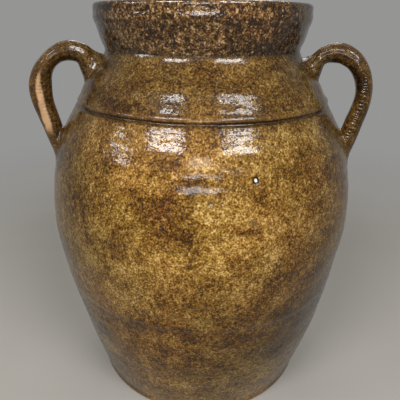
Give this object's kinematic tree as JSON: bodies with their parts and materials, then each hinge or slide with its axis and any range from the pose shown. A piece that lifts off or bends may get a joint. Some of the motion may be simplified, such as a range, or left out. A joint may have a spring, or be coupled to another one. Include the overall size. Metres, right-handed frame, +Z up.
{
  "type": "storage jar",
  "caption": "Big-bellied glazed stoneware storage jar with a flared collar rim, an incised shoulder line and rolled ear handles at the shoulder.",
  "frame": {"origin": "centre of the flat underside, on the jar's axis, where it stands on the table", "axes": "+Z up along the jar's axis to the rim; -Y is the front as pictured; the handles stand at the left (-X) and right (+X), turned a little toward the front"},
  "size_m": [0.2721, 0.2691, 0.335],
  "materials": {
    "glazed_clay": "glossy mottled olive brown glaze"
  },
  "bodies": {
    "root": {"lower_body": "glazed_clay", "upper_body": "glazed_clay", "rim_collar": "glazed_clay", "left_handle": "glazed_clay", "left_upper_pad": "glazed_clay", "left_lower_pad": "glazed_clay", "right_handle": "glazed_clay", "right_upper_pad": "glazed_clay", "right_lower_pad": "glazed_clay"}
  },
  "joints": []
}
